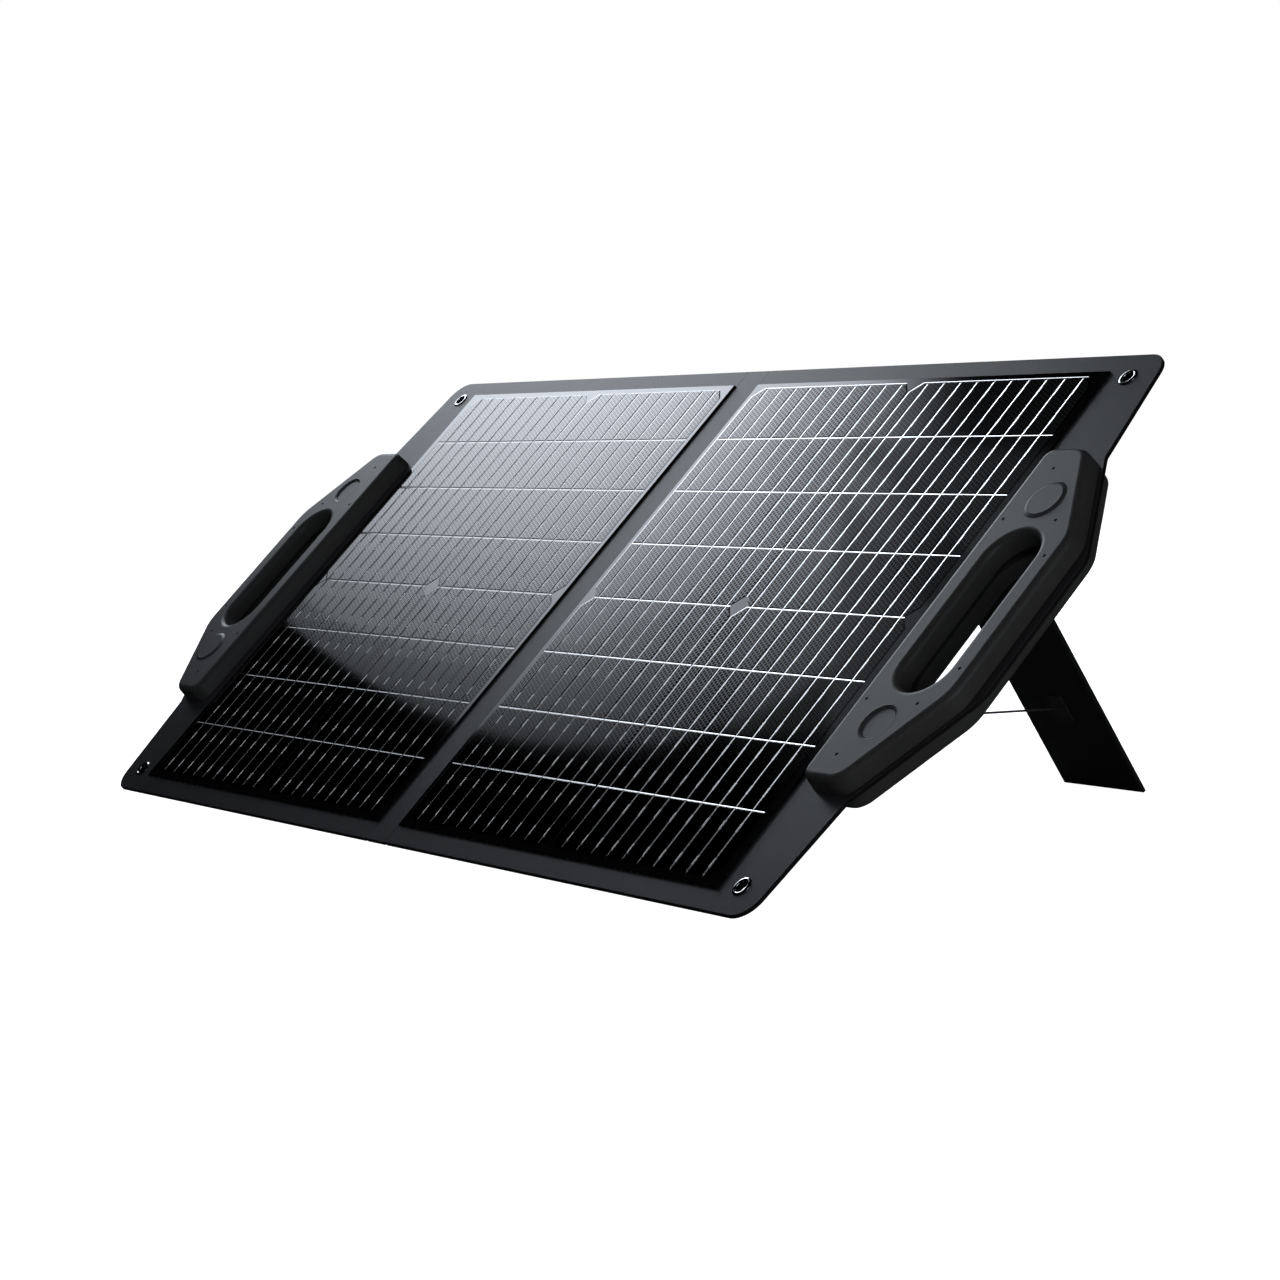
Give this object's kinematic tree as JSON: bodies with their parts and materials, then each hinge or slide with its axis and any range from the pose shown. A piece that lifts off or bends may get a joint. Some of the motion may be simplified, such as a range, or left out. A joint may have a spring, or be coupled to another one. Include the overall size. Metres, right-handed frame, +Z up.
{
  "type": "folding solar panel",
  "caption": "Two-leaf folding solar panel with cloth-faced boards, glossy laminates, moulded carry handles, corner eyelets and fold-out rear stands.",
  "frame": {"origin": "middle of the underside of the open panel on its stands, on the ground", "axes": "+X to the viewer's right along the panel's width, +Y towards the stands behind it, +Z up; the lit face looks to -Y and up"},
  "size_m": [0.995, 0.4858, 0.3093],
  "materials": {
    "core_board": "fibre-filled board, black",
    "front_cloth": "ribbed woven polyester, charcoal",
    "back_cloth": "woven polyester, charcoal",
    "backsheet": "black glass-fibre laminate",
    "handle": "soft-touch moulding, dark grey",
    "screws": "black zinc",
    "magnets": "nickel plated",
    "eyelets": "polished nickel",
    "rivets": "black",
    "webbing": "woven webbing, black",
    "tether": "braided cord, black",
    "stand": "stiff board, black",
    "stand_skin": "thin cloth, near black",
    "cells": "silicon, blue-black",
    "ribbons": "tinned copper",
    "front_film": "clear film with an embossed pattern",
    "box_plastic": "moulded, black",
    "gasket": "foam rubber",
    "circuit_board": "green circuit board",
    "diodes": "black epoxy",
    "socket": "glossy black socket"
  },
  "bodies": {
    "left_leaf": {"left_back_cloth": "back_cloth", "left_backsheet": "backsheet", "left_cells": "cells", "left_core_board": "core_board", "left_crease_cloth": "back_cloth", "left_cross_ribbons": "ribbons", "left_eyelet_washers": "eyelets", "left_eyelets": "eyelets", "left_front_cloth": "front_cloth", "left_front_film": "front_film", "left_handle_back": "handle", "left_handle_front": "handle", "left_handle_screws": "screws", "left_hinge_rivets": "rivets", "left_magnets": "magnets", "left_ribbons": "ribbons", "left_stand_hinge": "webbing", "left_tether": "tether", "left_tether_tab": "webbing", "box_base": "box_plastic", "box_cover": "box_plastic", "box_gasket": "gasket", "box_screws": "screws", "bypass_diodes": "diodes", "circuit_board": "circuit_board", "output_socket": "socket"},
    "spine": {"spine_back_cloth": "back_cloth", "spine_board": "core_board", "spine_front_cloth": "front_cloth"},
    "right_leaf": {"right_back_cloth": "back_cloth", "right_backsheet": "backsheet", "right_cells": "cells", "right_core_board": "core_board", "right_crease_cloth": "back_cloth", "right_cross_ribbons": "ribbons", "right_eyelet_washers": "eyelets", "right_eyelets": "eyelets", "right_front_cloth": "front_cloth", "right_front_film": "front_film", "right_handle_back": "handle", "right_handle_front": "handle", "right_handle_screws": "screws", "right_hinge_rivets": "rivets", "right_magnets": "magnets", "right_ribbons": "ribbons", "right_stand_hinge": "webbing", "right_tether": "tether", "right_tether_tab": "webbing"},
    "left_stand": {"left_stand_board": "stand", "left_stand_inner_skin": "stand_skin", "left_stand_outer_skin": "stand_skin", "left_stand_rivets": "rivets", "left_stand_tab": "webbing"},
    "right_stand": {"right_stand_board": "stand", "right_stand_inner_skin": "stand_skin", "right_stand_outer_skin": "stand_skin", "right_stand_rivets": "rivets", "right_stand_tab": "webbing"}
  },
  "joints": [
    {"name": "left_crease", "type": "hinge", "parent": "left_leaf", "child": "spine", "pos_m": [-0.0136, -0.07112, 0.15576], "axis": [0, -0.7455, -0.6665], "range_deg": [0, 90], "deforming": ["left_crease_cloth"]},
    {"name": "right_crease", "type": "hinge", "parent": "spine", "child": "right_leaf", "pos_m": [0.0136, -0.07112, 0.15576], "axis": [0, -0.7455, -0.6665], "range_deg": [0, 90], "deforming": ["right_crease_cloth"]},
    {"name": "left_stand_fold", "type": "hinge", "parent": "left_leaf", "child": "left_stand", "pos_m": [-0.204, 0.06921, 0.2756], "axis": [-1, 0, 0], "range_deg": [0, 79.8], "deforming": ["left_stand_hinge", "left_tether"]},
    {"name": "right_stand_fold", "type": "hinge", "parent": "right_leaf", "child": "right_stand", "pos_m": [0.204, 0.06921, 0.2756], "axis": [-1, 0, 0], "range_deg": [0, 79.8], "deforming": ["right_stand_hinge", "right_tether"]}
  ]
}
